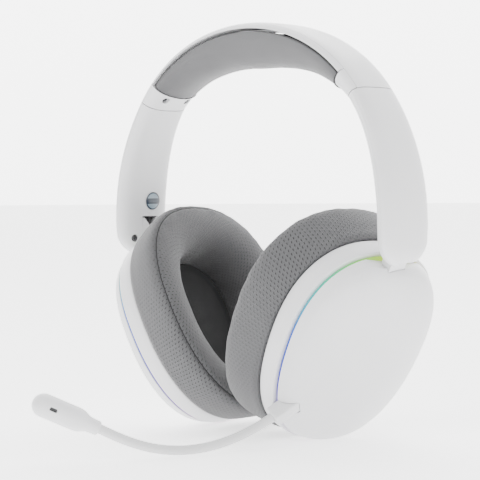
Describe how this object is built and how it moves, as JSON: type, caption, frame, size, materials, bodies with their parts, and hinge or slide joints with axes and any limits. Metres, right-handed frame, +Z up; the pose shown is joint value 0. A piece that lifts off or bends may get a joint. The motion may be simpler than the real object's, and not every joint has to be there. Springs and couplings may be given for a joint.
{
  "type": "gaming headset",
  "caption": "Over-ear gaming headset with a padded headband, sliding arms, tilting ear cups with mesh cushions and light rings, and a plug-in boom microphone.",
  "frame": {"origin": "the point of the headband pad's underside that rests on the crown of the head", "axes": "+Z up along the wearer's head, +X to the wearer's left, -Y to the wearer's front where the microphone reaches"},
  "size_m": [0.171, 0.1742, 0.1832],
  "materials": {
    "battery": "foil pouch cell",
    "black_screw": "blackened steel screw",
    "board": "green circuit board",
    "cable": "dark grey signal cable",
    "dark_plastic": "dark matt plastic",
    "label": "blue-grey inspection label with a plain dark band",
    "light_guide": "translucent light guide that glows in a colour sweep",
    "mesh_fabric": "grey sports mesh with small staggered slits over foam",
    "pad_fabric": "smooth grey knit over foam",
    "soft_white": "soft-touch white sleeve of the gooseneck",
    "speaker_cloth": "thin dark acoustic cloth",
    "steel": "bright spring steel",
    "white_plastic": "satin white moulded plastic"
  },
  "bodies": {
    "headband": {"headband_frame": "white_plastic", "headband_top_cover": "white_plastic", "collar_left": "white_plastic", "collar_right": "white_plastic", "headband_pad": "pad_fabric", "spring_band": "steel", "collar_screw_front_left": "black_screw", "collar_screw_front_right": "black_screw", "collar_screw_rear_left": "black_screw", "collar_screw_rear_right": "black_screw"},
    "arm_left": {"arm_outer_shell_left": "white_plastic", "arm_inner_cover_left": "white_plastic", "slider_strip_left": "steel", "hinge_pin_left": "steel", "arm_screw_left": "black_screw", "signal_cable_left": "cable"},
    "cup_left": {"cup_shell_left": "white_plastic", "cup_ring_left": "white_plastic", "neck_left": "white_plastic", "light_ring_left": "light_guide", "ear_cushion_left": "mesh_fabric", "baffle_left": "dark_plastic", "driver_left": "dark_plastic", "speaker_cloth_left": "speaker_cloth", "main_board": "board", "usb_port": "steel", "mic_socket": "dark_plastic"},
    "arm_right": {"arm_outer_shell_right": "white_plastic", "arm_inner_cover_right": "white_plastic", "slider_strip_right": "steel", "hinge_pin_right": "steel", "arm_screw_right": "black_screw", "signal_cable_right": "cable", "inspection_label": "label"},
    "cup_right": {"cup_shell_right": "white_plastic", "cup_ring_right": "white_plastic", "neck_right": "white_plastic", "light_ring_right": "light_guide", "ear_cushion_right": "mesh_fabric", "baffle_right": "dark_plastic", "driver_right": "dark_plastic", "speaker_cloth_right": "speaker_cloth", "battery": "battery"},
    "power_button": {"power_button": "white_plastic"},
    "mute_button": {"mute_button": "white_plastic"},
    "volume_wheel": {"volume_wheel": "dark_plastic"},
    "mic_root": {"mic_plug": "white_plastic", "boom_root": "soft_white"},
    "mic_tip": {"boom_tip": "soft_white", "mic_head": "white_plastic", "mic_capsule": "dark_plastic"}
  },
  "joints": [
    {"name": "slide_left", "type": "slide", "parent": "headband", "child": "arm_left", "axis": [0.6037, 0, -0.7972], "range_m": [0, 0.016]},
    {"name": "tilt_left", "type": "hinge", "parent": "arm_left", "child": "cup_left", "pos_m": [0.0799, 0.0015, -0.0767], "axis": [0, -1, 0], "range_deg": [0, 22]},
    {"name": "slide_right", "type": "slide", "parent": "headband", "child": "arm_right", "axis": [-0.6037, 0, -0.7972], "range_m": [0, 0.016]},
    {"name": "tilt_right", "type": "hinge", "parent": "arm_right", "child": "cup_right", "pos_m": [-0.0799, 0.0015, -0.0767], "axis": [0, 1, 0], "range_deg": [0, 22]},
    {"name": "press_power_button", "type": "slide", "parent": "cup_left", "child": "power_button", "axis": [-0.0164, -0.9736, 0.2275], "range_m": [0, 0.0008], "stiffness_N_per_m": 600, "springref_m": -0.0008},
    {"name": "press_mute_button", "type": "slide", "parent": "cup_left", "child": "mute_button", "axis": [-0.0862, -0.9916, 0.0965], "range_m": [0, 0.0008], "stiffness_N_per_m": 600, "springref_m": -0.0008},
    {"name": "turn_volume_wheel", "type": "hinge", "parent": "cup_left", "child": "volume_wheel", "pos_m": [0.0545, 0.03752, -0.11536], "axis": [0.8828, -0.1209, -0.454], "range_deg": [-140, 140]},
    {"name": "mic_plug_pull", "type": "slide", "parent": "cup_left", "child": "mic_root", "axis": [-0.3734, -0.7671, -0.5217], "range_m": [0, 0.014]},
    {"name": "boom_bend", "type": "hinge", "parent": "mic_root", "child": "mic_tip", "pos_m": [0.01616, -0.07694, -0.15979], "axis": [-0.893, 0.45, 0], "range_deg": [-25, 25]}
  ]
}
